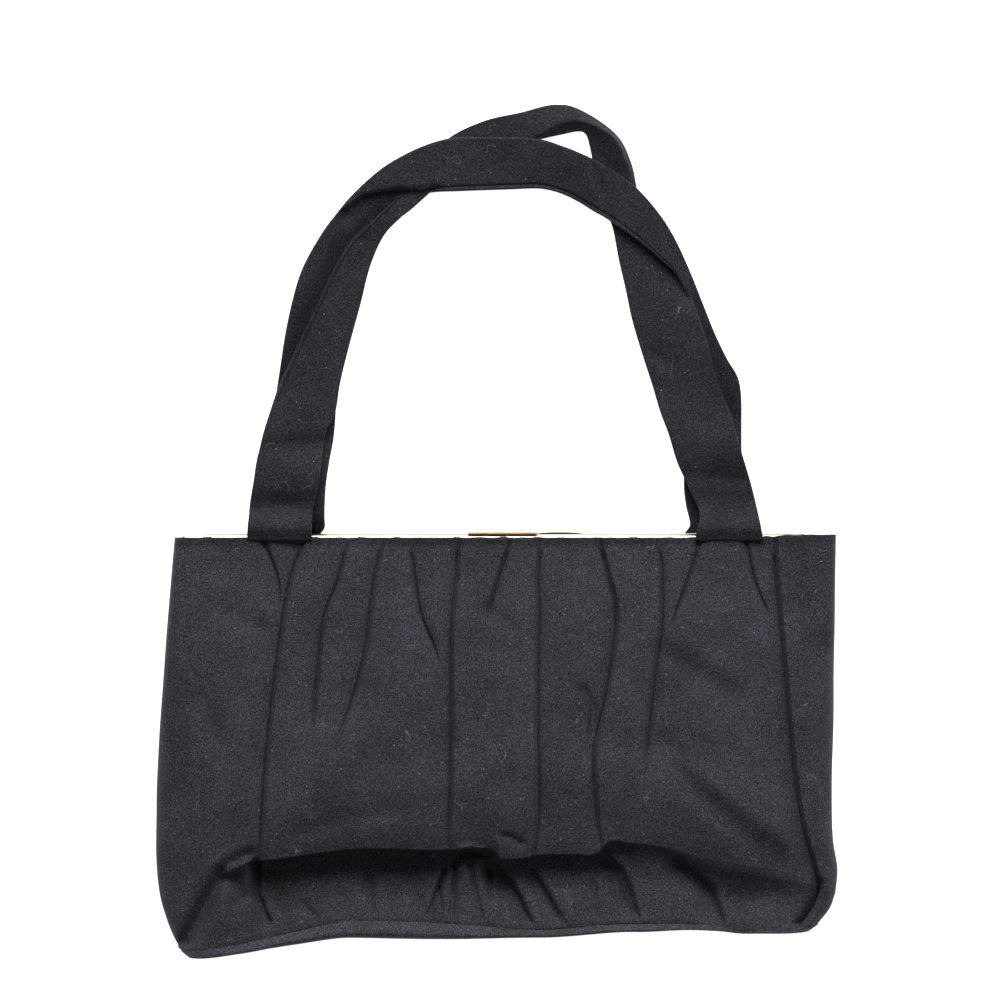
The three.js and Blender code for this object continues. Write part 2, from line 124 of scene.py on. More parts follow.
# How far each stretch between two pleats stands out.
PUFFS = (0.3, 0.2, 1.7, 0.6, 1.3, 0.4, 1.5, 1.7, 0.8, 1.6, 0.3, 0.9, 0.2, 0.8)

# The crease: X, Y, the drop of the cloth below it, and how sharp it is.
CREASE = np.array((
    (-146, -170, 0, 0), (-139, -166, 0, 0), (-130, -158, 0, 0), (-120, -149, 0.5, 0),
    (-112, -143, 2, 0.2), (-106, -140, 6, 0.6), (-102, -139.3, 11, 1), (-96, -138.9, 13, 1),
    (-81, -136.8, 14, 1), (-66.6, -134.8, 14, 1), (-53.4, -133.9, 14, 1), (-33.5, -134.6, 14, 1),
    (-21, -134.7, 12, 1), (-14, -134, 9, 0.9), (-8, -133.6, 8, 0.8), (-1, -135, 8, 0.8),
    (2, -138.6, 9, 1), (10, -138.2, 9.5, 1), (17.8, -136.8, 9.5, 1), (32.7, -136.4, 9.5, 1),
    (43.2, -135.6, 9, 1), (46, -131.8, 7, 0.9), (57.7, -131.6, 7, 0.45), (73, -134, 7.5, 0.2),
    (87.8, -138, 8, 0.05), (100, -140, 8, 0), (115, -142, 7, 0), (128, -146, 4, 0), (135, -150, 1.5, 0),
    (146, -154, 0, 0)))
# The base seam: X, Y and how far the base stands out beyond it.
SEAM = np.array((
    (-134.6, -176.2, 0.6), (-132, -177.1, 2), (-128, -176.8, 2.9), (-110, -174.5, 3.2),
    (-86, -169, 4.9), (-62, -164.8, 6.2), (-24, -165.6, 6), (18, -168, 2.9), (58, -165.6, 2.9),
    (82, -166, 1.6), (94, -167.2, 0.9), (106, -168.7, 0.4), (126, -168.5, 0.3), (131, -168, 0.2),
    (135.8, -166.4, 0.1)))
# Rise of the front from the frame to the crease: way and share of the height.
RISE = np.array((
    (0, 0), (0.03, 0.02), (0.08, 0.08), (0.16, 0.2), (0.27, 0.35), (0.4, 0.51), (0.54, 0.67),
    (0.68, 0.84), (0.77, 0.96), (0.83, 0.99), (0.89, 0.96), (0.95, 0.88), (1, 0.75)))
# The cloth below the crease: way past it, share of the drop, share of the
# distance to the seam, and how far it is tucked back under the crease.
BELOW_SHARP = np.array((
    (0, 0, 0, 0), (0.05, 0.25, 0, 1.4), (0.1, 0.52, 0.01, 2.2), (0.16, 0.78, 0.04, 2.2),
    (0.23, 0.94, 0.1, 1.3), (0.32, 1, 0.2, 0.4), (0.47, 0.98, 0.38, 0), (0.66, 0.86, 0.61, 0),
    (0.85, 0.65, 0.84, 0), (1, 0.5, 1, 0)))
BELOW_SOFT = np.array((
    (0, 0, 0, 0), (0.12, 0.2, 0.12, 0), (0.26, 0.56, 0.26, 0), (0.42, 0.9, 0.42, 0), (0.55, 1, 0.55, 0),
    (0.7, 0.88, 0.7, 0), (0.85, 0.7, 0.85, 0), (1, 0.56, 1, 0)))
# Free folds and dents, each from its upper end: depth (a ridge has a negative
# one), reach to the right and to the left of its line, and X and Y of its points.
FOLDS = (
    dict(deep=5.4, right=1.0, left=6.0, points=(
        (0.6, -142), (5.2, -147.6), (9.6, -155.4), (13.8, -164.6))),
    dict(deep=3.4, right=3.4, left=3.4, points=((-2, -146), (1.6, -151))),
    dict(deep=4.4, right=1.0, left=5.0, points=((16.5, -145.7), (21.6, -154.6), (27.8, -165))),
    dict(deep=2.4, right=1.2, left=2.2, points=((41.4, -149.4), (41.8, -162.5))),
    dict(deep=5.4, right=1.0, left=6.5, points=(
        (47, -139.4), (52.2, -142.7), (55.6, -150.8), (59.4, -163.5))),
    dict(deep=5.4, right=1.0, left=6.5, points=(
        (79, -141), (85.2, -145.1), (90.7, -151.5), (93.3, -158.7), (95.7, -167.8))),
    dict(deep=3.6, right=0.8, left=4.0, points=((-101, -141), (-101, -154), (-96.7, -164.2))),
    dict(deep=9.0, right=5.4, left=5.4, points=((-110.4, -147.6), (-108, -155))),
    dict(deep=1.5, right=1.2, left=2.6, points=((-110.6, -158), (-111.6, -172))),
    dict(deep=2.8, right=1.2, left=2.4, points=((-53.8, -147), (-53, -161.5))),
    dict(deep=1.6, right=1.2, left=2.4, points=((-82, -157.4), (-76, -164))),
    dict(deep=1.4, right=1.6, left=1.0, points=((-32, -155), (-38, -161))),
    dict(deep=4.0, right=1.4, left=0.8, points=((-22.4, -144), (-29, -162))),
    dict(deep=2.6, right=0.7, left=1.0, points=((-24.2, -151), (-23.8, -159))),
    dict(deep=4.0, right=1.2, left=0.8, points=((-17.6, -139.4), (-18.6, -150), (-19.3, -162))),
    dict(deep=3.0, right=0.8, left=1.4, points=((-11.2, -141), (-9.6, -149), (-6.4, -164))),
    dict(deep=3.8, right=1.2, left=2.0, points=((-3.4, -144), (-2, -155))),
    dict(deep=1.8, right=0.7, left=1.4, points=((2.5, -155.5), (2.5, -165))),
    dict(deep=-1.5, right=1.0, left=1.0, points=((-15.7, -133.6), (-11, -132.8), (-6.4, -134))),
    dict(deep=3.0, right=1.3, left=1.8, points=((-15, -136.4), (-10, -135.4), (-4, -137))),
    dict(deep=1.6, right=2.0, left=1.8, points=((2.5, -128.8), (6, -129.6), (10.2, -131.8))),
    dict(deep=-2.0, right=2.4, left=2.0, points=((0.6, -131.5), (1, -136.8))),
    dict(deep=3.4, right=1.5, left=3.4, points=((-105, -136.6), (-113, -140.4), (-116, -143.2))),
    dict(deep=8.0, right=3.0, left=4.0, points=((-117, -147.4), (-120, -152.4), (-131, -173.5))),
    dict(deep=-0.4, right=2.2, left=1.8, points=((-106, -140.2), (-112, -143.2), (-117.4, -151))),
    dict(deep=3.2, right=1.3, left=3.0, points=(
        (137, -149), (136.2, -155), (133, -161), (127.5, -167.5))),
    dict(deep=2.6, right=1.6, left=2.2, points=((36.9, -67.2), (41, -74), (40.7, -85))),
    dict(deep=2.6, right=6.0, left=5.0, points=((70, -52), (98, -68.9))),
    dict(deep=-1.2, right=4.0, left=4.0, points=((78, -96.5), (127.7, -135.5))),
    dict(deep=2.2, right=6.0, left=6.0, points=((70.8, -90.6), (82.7, -108.4), (117.9, -138.5))),
    dict(deep=1.2, right=2.0, left=2.0, points=((137, -103.3), (140, -114.3))),
    dict(deep=1.2, right=1.4, left=2.2, points=((129.8, -10), (131.5, -30.3), (131.9, -50.3))),
    dict(deep=2.2, right=3.2, left=3.2, points=((-4.2, -33.3), (5.9, -40.1))),
    dict(deep=1.7, right=3.5, left=3.5, points=((-119.6, -31.2), (-98.4, -41.8))),
    dict(deep=1.8, right=6.0, left=6.0, points=((-124.5, -72), (-114, -96))),
    dict(deep=2.2, right=7.0, left=7.0, points=((-112, -107), (-112, -134))),
    dict(deep=1.5, right=5.0, left=5.0, points=((-84, -128), (-64, -121), (-44, -118))),
    dict(deep=0.7, right=0.9, left=0.9, points=((29, -9), (29.8, -16.5))),
)


def curve_through(at, knots, values):
    """Smooth curve through a table's knots, level where the values turn back."""
    knots, values = np.asarray(knots, float), np.asarray(values, float)
    chord = np.diff(values) / np.diff(knots)
    slope = np.concatenate((chord[:1], (chord[:-1] + chord[1:]) / 2, chord[-1:]))
    slope[1:-1][chord[:-1] * chord[1:] <= 0] = 0
    at = np.clip(at, knots[0], knots[-1])
    i = np.clip(np.searchsorted(knots, at) - 1, 0, len(knots) - 2)
    step = knots[i + 1] - knots[i]
    t = (at - knots[i]) / step
    bend = t * (1 - t) * ((1 - t) * slope[i] - t * slope[i + 1]) * step
    return (1 + 2 * t) * (1 - t) ** 2 * values[i] + t * t * (3 - 2 * t) * values[i + 1] + bend


def mix(a, b, share):
    return a + (b - a) * share


def ease(at, start, end):
    t = np.clip((at - start) / (end - start), 0, 1)
    return t * t * (3 - 2 * t)


def fold_depth(x, y, fold):
    """Depth of a free fold at each place: it has its own reach on either side
    of its line, and fades round both ends."""
    points = np.array(fold["points"], float)
    nearest, right = np.full(x.shape, 1e9), np.zeros(x.shape)
    for start, end in zip(points[:-1], points[1:]):
        run = end - start
        t = np.clip(((x - start[0]) * run[0] + (y - start[1]) * run[1]) / (run @ run), 0, 1)
        away_x, away_y = x - start[0] - t * run[0], y - start[1] - t * run[1]
        away = np.hypot(away_x, away_y)
        turn = (run[0] * away_y - run[1] * away_x) / (np.hypot(*run) * np.maximum(away, 1e-9))
        right = np.where(away < nearest, (1 + turn) / 2, right)
        nearest = np.minimum(away, nearest)
    powers = (HIGH_SIDE, LOW_SIDE) if fold["right"] > fold["left"] else (LOW_SIDE, HIGH_SIDE)
    reach = mix(fold["left"], fold["right"], right)
    return fold["deep"] * np.exp(-(nearest / reach) ** mix(*powers, right))


def pleat_lines(way):
    above, below = slice(0, CREASE_KNOT + 1), slice(CREASE_KNOT, None)
    return np.array([np.where(way <= 1, curve_through(way, PLEAT_WAYS[above], row["x"][above]),
                              curve_through(way, PLEAT_WAYS[below], row["x"][below])) for row in PLEATS])


def pleat_depth(from_line, row):
    """Depth of a pleat across its line: a narrow slot, a short rounded edge on
    its high side and a long slope on its low side."""
    slot = PLEAT_SLOT * np.exp(-(from_line / PLEAT_SLOT_WIDTH) ** 2)
    if row["low"] == 0:
        return row["deep"] * (slot / PLEAT_SLOT + np.exp(-np.abs(from_line) / TUCK_SLOPE)) / TUCK_EVENING
    from_low = -from_line * row["low"]
    slope = np.where(from_low > 0, np.exp(-(from_low / PLEAT_EDGE) ** 2), np.exp(from_low / PLEAT_SLOPE))
    return row["deep"] * slope + slot


def seam_shows(x):
    """How plainly the base seam shows: it is lost in the cloth at both ends."""
    return ease(x, *SEAM_SHOWS_FROM) * (1 - ease(x, *SEAM_LOST_FROM))


def across(gap, share, lines):
    each = np.arange(lines.shape[1])
    return mix(lines[gap, each], lines[gap + 1, each], share)


def front_place(gap, share, way):
    """Points of the front in millimetres, from a stretch between two pleats,
    the share of the way across it, and the way down."""
    lines = pleat_lines(np.maximum(way, 0))
    x = across(gap, share, lines)
    at_crease = across(gap, share, pleat_lines(np.ones_like(way)))
    at_seam = across(gap, share, pleat_lines(np.full_like(way, 2)))
    crease_y, drop, sharp = (curve_through(at_crease, CREASE[:, 0], CREASE[:, k]) for k in (1, 2, 3))
    seam_y = curve_through(at_seam, SEAM[:, 0], SEAM[:, 1])
    upper = np.clip(way, 0, 1)
    lower = np.clip(way - 1, 0, 1)
    fall, reach, tuck = (
        mix(curve_through(lower, BELOW_SOFT[:, 0], BELOW_SOFT[:, k]),
            curve_through(lower, BELOW_SHARP[:, 0], BELOW_SHARP[:, k]), sharp) for k in (1, 2, 3))
    tuck = tuck * drop / FULL_DROP
    y = np.where(way <= 1, mix(TOP_EDGE_Y, crease_y, upper), mix(crease_y, seam_y, reach) + tuck)
    ridge = mix(RIDGE_HEIGHT, CORNER_HEIGHT, ease(np.abs(x), SHOULDER_X, SIDE_X))
    rise = curve_through(upper, RISE[:, 0], RISE[:, 1])
    held = 1 - np.clip(drop / FULL_DROP * DROP_FREES_BELLY, 0, 1)
    body = mix(MOUTH_HEIGHT, ridge, mix(rise, np.maximum(rise, upper), held)) - drop * fall
    belly = ease(way, *PUFF_GROWS) * (1 - PUFF_LOSS * ease(way, *PUFF_FLATTENS))
    alive = np.array([
        1 - ease(way, row["fade"] * PLEAT_FADES_FROM, row["fade"] + PLEAT_FADE_END)
        if row["deep"] else np.ones_like(way) for row in PLEATS])
    puffs = np.array((PUFFS[0], *PUFFS, PUFFS[-1]))
    between = (puffs[:-1] + puffs[1:])[:, None] / 2 * (1 - alive)
    each = np.arange(len(way))
    puff = puffs[gap + 1]
    at_left, at_right = (1 - share) ** 4, share ** 4
    puff = puff + (between[gap, each] - puff) * at_left + (between[gap + 1, each] - puff) * at_right
    puff = puff * belly
    sunk = np.zeros_like(x)
    for row, line, depth in zip(PLEATS, lines, alive):
        if row["deep"]:
            sunk = np.maximum(sunk, pleat_depth(x - line, row) * depth)
    room = mix(PLEAT_ROOM_AT_FRAME, PLEAT_ROOM_BELOW, ease(way, *PLEAT_ROOM_WAYS))
    sunk = np.minimum(sunk, room)
    sunk = sunk + sum(fold_depth(x, y, fold) for fold in FOLDS)
    top = body + puff - sunk * (1 - SEAM_HOLD * ease(way, *SEAM_HOLD_WAYS))
    seam_line = np.where(way > 1, np.exp(-((y - seam_y) / SEAM_DIP_WIDTH) ** 2), 0)
    top = top - SEAM_DIP * seam_line * seam_shows(x)
    from_side = np.minimum(x - lines[0], lines[-1] - x)
    roll = mix(SIDE_ROLL_TOP, SIDE_ROLL_BASE, ease(way, *SIDE_ROLL_WAYS))
    rolled = 1 - np.clip(from_side / roll, 0, 1)
    side_seam = mix(body, BACK_SEAM_Z, SIDE_SEAM_SHARE)
    z = mix(side_seam, top, np.sqrt(np.maximum(1 - rolled ** 2, 0)))
    return np.stack((x, y, z), axis=1)


def crumple(points, sizes):
    """Small dents of handled cloth: noise of several sizes, each with its depth."""
    depth = np.zeros(len(points))
    for across_mm, along_mm, deep in sizes:
        stretch = (1 / across_mm, 1 / along_mm, 1 / across_mm)
        depth += [deep * noise.noise(Vector(p * stretch)) for p in points]
    return depth


def cloth_grid(columns, rows, place):
    """Sheet of cloth: a grid whose columns and rows are laid where place says,
    with its threads' lengths across and along kept as its UV map."""
    bm = bmesh.new()
    bmesh.ops.create_grid(bm, x_segments=columns, y_segments=rows, size=0.5)
    at = np.array([v.co.xy for v in bm.verts]) + 0.5
    column = np.rint(at[:, 0] * columns).astype(int)
    row = rows - np.rint(at[:, 1] * rows).astype(int)
    points = place(column, row)
    for vert, point in zip(bm.verts, points):
        vert.co = point * MM
    laid = np.empty((rows + 1, columns + 1, 3))
    laid[row, column] = points * MM
    width = np.zeros(laid.shape[:2])
    width[:, 1:] = np.cumsum(np.linalg.norm(np.diff(laid, axis=1), axis=2), axis=1)
    length = np.zeros(laid.shape[:2])
    length[1:] = np.cumsum(np.linalg.norm(np.diff(laid, axis=0), axis=2), axis=0)
    threads = np.stack((width[row, column], -length[row, column]), axis=1)
    uv = bm.loops.layers.uv.new("threads")
    bm.verts.index_update()
    for face in bm.faces:
        face.smooth = True
        for loop in face.loops:
            loop[uv].uv = threads[loop.vert.index]
    return bm


def finish_piece(bm, name, material):
    mesh = bpy.data.meshes.new(name)
    bm.to_mesh(mesh)
    bm.free()
    mesh.materials.append(material)
    piece = bpy.data.objects.new(name, mesh)
    bpy.context.scene.collection.objects.link(piece)
    return piece


def shader(name):
    material = bpy.data.materials.new(name)
    material.use_nodes = True
    nodes, links = material.node_tree.nodes, material.node_tree.links
    return material, nodes, links, nodes["Principled BSDF"]


def wool_crepe(name, tone):
    """Black wool crepe: pebbly twisted yarn, slightly blue, with a dull bloom of
    fine hairs, uneven wear, specks of lint and a few stray fibres."""
    material, nodes, links, bsdf = shader(name)
    bsdf.inputs["Roughness"].default_value = 0.92
    bsdf.inputs["Specular IOR Level"].default_value = 0.12
    bsdf.inputs["Sheen Weight"].default_value = 0.06
    bsdf.inputs["Sheen Roughness"].default_value = 0.4
    bsdf.inputs["Sheen Tint"].default_value = (0.75, 0.78, 0.9, 1)
    solid_place = nodes.new("ShaderNodeTexCoord").outputs["Object"]
    threads = nodes.new("ShaderNodeUVMap")
    threads.uv_map = "threads"

    def texture(kind, place, **sockets):
        node = nodes.new(kind)
        for socket, value in sockets.items():
            node.inputs[socket.replace("_", " ")].default_value = value
        links.new(place, node.inputs["Vector"])
        return node

    def ramp(value, stops):
        node = nodes.new("ShaderNodeValToRGB")
        elements = node.color_ramp.elements
        while len(elements) < len(stops):
            elements.new(0.5)
        for element, (position, colour) in zip(elements, stops):
            element.position = position
            element.color = (*colour, 1)
        links.new(value, node.inputs["Fac"])
        return node.outputs["Color"]

    def blend(kind, share, a, b):
        node = nodes.new("ShaderNodeMix")
        node.data_type = "RGBA"
        node.blend_type = kind
        if isinstance(share, float):
            node.inputs["Factor"].default_value = share
        else:
            links.new(share, node.inputs["Factor"])
        for socket, value in ((node.inputs[6], a), (node.inputs[7], b)):
            if isinstance(value, tuple):
                socket.default_value = value
            else:
                links.new(value, socket)
        return node.outputs[2]

    def grey(value):
        return value, value, value

    yarn = texture("ShaderNodeTexNoise", solid_place, Scale=1900, Detail=1.5, Roughness=0.6)
    yarn_colour = ramp(yarn.outputs["Fac"], (
        (0.30, (0.0095 * tone, 0.0097 * tone, 0.0116 * tone)),
        (0.50, (0.029 * tone, 0.0296 * tone, 0.0348 * tone)),
        (0.70, (0.074 * tone, 0.075 * tone, 0.086 * tone))))
    bloom = texture("ShaderNodeTexNoise", solid_place, Scale=42, Detail=4.0, Roughness=0.6)
    bloom_colour = ramp(bloom.outputs["Fac"], ((0.3, (0.76, 0.75, 0.72)), (0.7, (1.2, 1.21, 1.3))))
    worn = blend("MULTIPLY", 1.0, yarn_colour, bloom_colour)
    lint = texture("ShaderNodeTexVoronoi", solid_place, Scale=400, Randomness=1.0)
    near = ramp(lint.outputs["Distance"], ((0.07, grey(1)), (0.14, grey(0))))
    few = ramp(lint.outputs["Color"], ((0.5, grey(0)), (0.92, grey(1))))
    speck = blend("MULTIPLY", 1.0, near, few)
    dusty = blend("MIX", speck, worn, (0.2, 0.2, 0.2, 1))
    drift = texture("ShaderNodeTexNoise", threads.outputs["UV"], Scale=110, Detail=1.0)
    wander = blend("LINEAR_LIGHT", 0.012, threads.outputs["UV"], drift.outputs["Color"])
    fibre = texture("ShaderNodeTexVoronoi", wander, Scale=75, Randomness=1.0)
    fibre.voronoi_dimensions = "2D"
    fibre.feature = "DISTANCE_TO_EDGE"
    thin = ramp(fibre.outputs["Distance"], ((0.005, grey(1)), (0.012, grey(0))))
    rare = texture("ShaderNodeTexNoise", threads.outputs["UV"], Scale=90, Detail=0.0)
    here = ramp(rare.outputs["Fac"], ((0.67, grey(0)), (0.72, grey(0.8))))
    colour = blend("MIX", blend("MULTIPLY", 1.0, thin, here), dusty, (0.12, 0.12, 0.12, 1))
    links.new(colour, bsdf.inputs["Base Color"])
    bump = nodes.new("ShaderNodeBump")
    bump.inputs["Strength"].default_value = 0.45
    bump.inputs["Distance"].default_value = 0.0004
    links.new(yarn.outputs["Fac"], bump.inputs["Height"])
    links.new(bump.outputs["Normal"], bsdf.inputs["Normal"])
    return material


# Columns crowd towards the pleats, and more of them fill a wider stretch. Rows
# crowd at the frame, where the cloth is turned over in a hem, and at the crease.
CROWDING = 0.6
LEAST_COLUMNS = 20
COLUMNS_PER_MM = 0.96
WIDTH_WAYS = (0.3, 0.8)
stretch_widths = np.diff(pleat_lines(np.array(WIDTH_WAYS)), axis=0).mean(axis=1)
stretch_columns = np.rint(LEAST_COLUMNS + COLUMNS_PER_MM * stretch_widths).astype(int)
front_gap, front_share = [], []
for index, count in enumerate(stretch_columns):
    steps = np.arange(count) / count
    front_gap += [index] * count
    front_share += list(steps - CROWDING * np.sin(2 * np.pi * steps) / (2 * np.pi))
front_gap = np.array(front_gap + [len(PLEATS) - 2])
front_share = np.array(front_share + [1.0])
# The hem: way (before the edge), forwards and down.
HEM = np.array((
    (-0.016, 0, 2.1), (-0.012, 0.12, 1.6), (-0.008, 0.16, 1.0), (-0.004, 0.12, 0.4), (0, 0, 0)))
HEM_ROLL = 0.8
HEM_ROLL_WAY = 0.02
HEM_STITCH = 0.45
HEM_STITCH_WAY = 0.026
HEM_STITCH_WIDTH = 0.018
HEM_SETTLED = 0.05
HEM_DENTS = 0.25
RIGHT_LIFT = 1.2
RIGHT_LIFT_FROM = (100, 134)
# Dents of the cloth, coarse to fine: size across, size along, and depth.
FRONT_DENTS = ((40, 60, 0.8), (12, 24, 0.35), (5, 8, 0.14))
HEM_WAVES = ((5, 5, 0.5),)
HEM_WAYS = (0, 0.003, 0.006, 0.009, 0.012, 0.015, 0.02, 0.026)
BELLY_WAY, BELLY_ROWS = 0.033, 80
ROLL_WAY, ROLL_ROWS = 0.9, 20
ROWS_BELOW_CREASE = 62
front_ways = np.concatenate((
    HEM[:-1, 0], HEM_WAYS, np.linspace(BELLY_WAY, ROLL_WAY, BELLY_ROWS, endpoint=False),
    np.linspace(ROLL_WAY, 1, ROLL_ROWS, endpoint=False), np.linspace(1, 2, ROWS_BELOW_CREASE + 1)))


def lay_front(column, row):
    way = front_ways[row]
    points = front_place(front_gap[column], front_share[column], way)
    settled = ease(way, 0, HEM_SETTLED)
    points[:, 2] += crumple(points, FRONT_DENTS) * mix(HEM_DENTS, 1, settled)
    points[:, 2] += HEM_ROLL * np.exp(-(way / HEM_ROLL_WAY) ** 2)
    points[:, 2] -= HEM_STITCH * np.exp(-((way - HEM_STITCH_WAY) / HEM_STITCH_WIDTH) ** 2)
    points[:, 1] += (1 - settled) * crumple(points * (1, 0, 0), HEM_WAVES)
    points[:, 1] += RIGHT_LIFT * (1 - settled) * ease(points[:, 0], *RIGHT_LIFT_FROM)
    points[:, 1] += np.interp(way, HEM[:, 0], HEM[:, 1])
    points[:, 2] -= np.interp(way, HEM[:, 0], HEM[:, 2])
    return points


crepe = wool_crepe("wool_crepe", 0.93)
front_sheet = cloth_grid(len(front_gap) - 1, len(front_ways) - 1, lay_front)
front = finish_piece(front_sheet, "front_cloth", crepe)
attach(front, "root")
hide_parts("front_panel")

# Base panel: the plain strip of the same crepe that closes the foot of the bag.
# It is sewn to the front with a welt seam, rounds over and drops to the back,
# and turns round both lower corners to meet the gussets. It takes the crepe at a
# paler tone than the front: painted light for the light the band catches.
CLOTH_WALL = 0.9
BASE_COLUMNS = 190
CORNER_COLUMNS = 9
CORNER_TURN = math.radians(80)
CORNER_REACH = 0.15
CORNER_RUN = 5
CORNER_CROWDING = 0.8
SEAM_SAMPLES = 12
LEAST_BULGE = 0.2
BASE_DENTS = ((25, 25, 0.3),)
BASE_FOOT_WAVES = ((18, 9, 0.5),)
# Rows of the base: millimetres out from the seam, share of the bulge on top of
# that, drop below the seam, and share of the way down to the back.
BASE_ROWS = np.array((
    (-0.9, 0, 0.9, 0), (-0.3, 0, 0.35, 0), (0.3, 0, -0.1, 0), (0.8, 0.04, -0.6, 0), (1, 0.14, -1.1, 0),
    (1, 0.26, -1.6, 0), (1, 0.4, -2.1, 0), (1, 0.56, -2.45, 0), (1, 0.72, -2.45, 0), (1, 0.84, -1.8, 0),
    (1, 0.93, -0.4, 0), (1, 0.98, 1.6, 0), (1, 1, 5.2, 0), (1, 1.03, 5.2, 0.15), (1, 1.05, 5.2, 0.32),
    (1, 1.04, 5.2, 0.5), (1, 1, 5.2, 0.7), (1, 0.94, 5.2, 0.86), (1, 0.85, 5.2, 1)))


def wall_of(piece):
    """Gives a sheet the thickness of the cloth, inwards."""
    wall = piece.modifiers.new("wall", "SOLIDIFY")
    wall.thickness = CLOTH_WALL * MM
    wall.offset = -1


def seam_run(count):
    """Points of the base seam, its outward direction, and how far the base
    reaches out, with the last columns turned round each lower corner."""
    along = np.linspace(0, len(PLEATS) - 1 - 1e-6, SEAM_SAMPLES * count)
    gap = np.floor(along).astype(int)
    seam = front_place(gap, along - gap, np.full(len(along), 2.0))
    even = np.linspace(0, 1, count - 2 * CORNER_COLUMNS)
    even = mix(seam[0, 0], seam[-1, 0], even - CORNER_CROWDING * np.sin(2 * np.pi * even) / (2 * np.pi))
    seam = np.stack([np.interp(even, seam[:, 0], seam[:, k]) for k in range(3)], axis=1)
    run = np.gradient(seam[:, :2], axis=0)
    angle = np.arctan2(-run[:, 0], run[:, 1])
    out = 1 + curve_through(seam[:, 0], SEAM[:, 0], SEAM[:, 2])
    turn = np.arange(1, CORNER_COLUMNS + 1) / CORNER_COLUMNS
    first, last = (np.repeat(end, CORNER_COLUMNS, 0) for end in (seam[:1], seam[-1:]))
    seam = np.concatenate((first, seam, last))
    angle = np.concatenate((angle[0] - CORNER_TURN * turn[::-1], angle, angle[-1] + CORNER_TURN * turn))
    out = np.pad(out, CORNER_COLUMNS, mode="edge")
    from_end = np.minimum(seam[:, 0] - seam[0, 0], seam[-1, 0] - seam[:, 0])
    spread = mix(CORNER_REACH, 1, ease(from_end, 0, CORNER_RUN))
    return seam, np.stack((np.cos(angle), np.sin(angle)), axis=1), out, spread


def lay_base(column, row):
    seam, outward, out, spread = seam_run(BASE_COLUMNS + 1)
    step, bulge, drop, down = BASE_ROWS[row].T
    reach = (step + bulge * np.maximum(out[column] - 1, LEAST_BULGE)) * spread[column]
    points = seam[column].copy()
    points[:, :2] += outward[column] * reach[:, None]
    ledge = np.where(drop < 0, seam_shows(points[:, 0]), 1)
    points[:, 2] = mix(points[:, 2] - drop * ledge, BACK_SEAM_Z, down)
    points[:, 2] += crumple(points, BASE_DENTS) * (1 - down)
    points[:, 1] += crumple(points, BASE_FOOT_WAVES) * down
    return points


# A paler tone of the same crepe: painted light on the base band.
painted_light_base_crepe = wool_crepe("painted_light_base_crepe", 1.3)
base_sheet = cloth_grid(BASE_COLUMNS, len(BASE_ROWS) - 1, lay_base)
base = finish_piece(base_sheet, "base_cloth", painted_light_base_crepe)
wall_of(base)
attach(base, "root")
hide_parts("base_panel")

# Gussets: the plain crepe sides between front and back. Each hangs from the
# side seam and folds inwards a little below the frame, as the bag lies closed.
GUSSET_ROWS = 90
GUSSET_COLUMNS = 14
GUSSET_TOP = 0.002
GUSSET_TUCK = 0.6
GUSSET_TUCK_SHARE = 0.25
GUSSET_LAP = 0.8
GUSSET_FOLD_AT_FRAME = 1.0
GUSSET_FOLD_BELOW = 5.0
GUSSET_FOLD_GROWS = (0.35, 0.7)
GUSSET_FOLD_ENDS = (1.3, 1.9)
GUSSET_FOLD_ROUND = 1.5
GUSSET_DENTS = ((20, 30, 0.6), (6, 10, 0.2))


def lay_gusset(side):
    def place(column, row):
        way = mix(GUSSET_TOP, 2, row / GUSSET_ROWS)
        last = 0 if side < 0 else len(PLEATS) - 2
        share = np.full(len(way), 0.0 if side < 0 else 1.0)
        points = front_place(np.full(len(way), last), share, way)
        down = column / GUSSET_COLUMNS
        if side < 0:
            down = 1 - down
        folded = ease(way, *GUSSET_FOLD_GROWS) * (1 - ease(way, *GUSSET_FOLD_ENDS))
        inward = mix(GUSSET_FOLD_AT_FRAME, GUSSET_FOLD_BELOW, folded)
        tucked = GUSSET_TUCK * (1 - ease(down, 0, GUSSET_TUCK_SHARE))
        points[:, 0] -= side * (tucked + inward * np.sin(np.pi * down) ** GUSSET_FOLD_ROUND)
        points[:, 2] = mix(points[:, 2] + GUSSET_LAP, BACK_SEAM_Z, down)
        points[:, 0] += crumple(points, GUSSET_DENTS) * np.sin(np.pi * down)
        return points
    return place


for side, node in ((-1, "left_gusset"), (1, "right_gusset")):
    name = node + "_cloth"
    gusset = finish_piece(cloth_grid(GUSSET_COLUMNS, GUSSET_ROWS, lay_gusset(side)), name, crepe)
    wall_of(gusset)
    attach(gusset, "root")
    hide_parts(node)

# Back panel: the plain crepe back that the bag lies on, flat, with its edges
# turned up into the side and base seams. Its top edge just shows past the frame.
BACK_COLUMNS = 110
BACK_ROWS = 80
BACK_TOP_Y = -1.0
BACK_HUMP = 0.7
BACK_HUMP_X = 26.5
BACK_HUMP_WIDTH = 9
BACK_CORNER = (127, 132)
BACK_CORNER_DROP = 1
BACK_MIDDLE_X = 3
BACK_TURN_UP = 0.5
BACK_TURN_AT_SIDE = 120
BACK_TURN_AT_FOOT = 90
BACK_DENTS = ((30, 30, 0.12),)
SIDE_POINTS = 120
BACK_Z = 0.2
BACK_INSET = 0.6


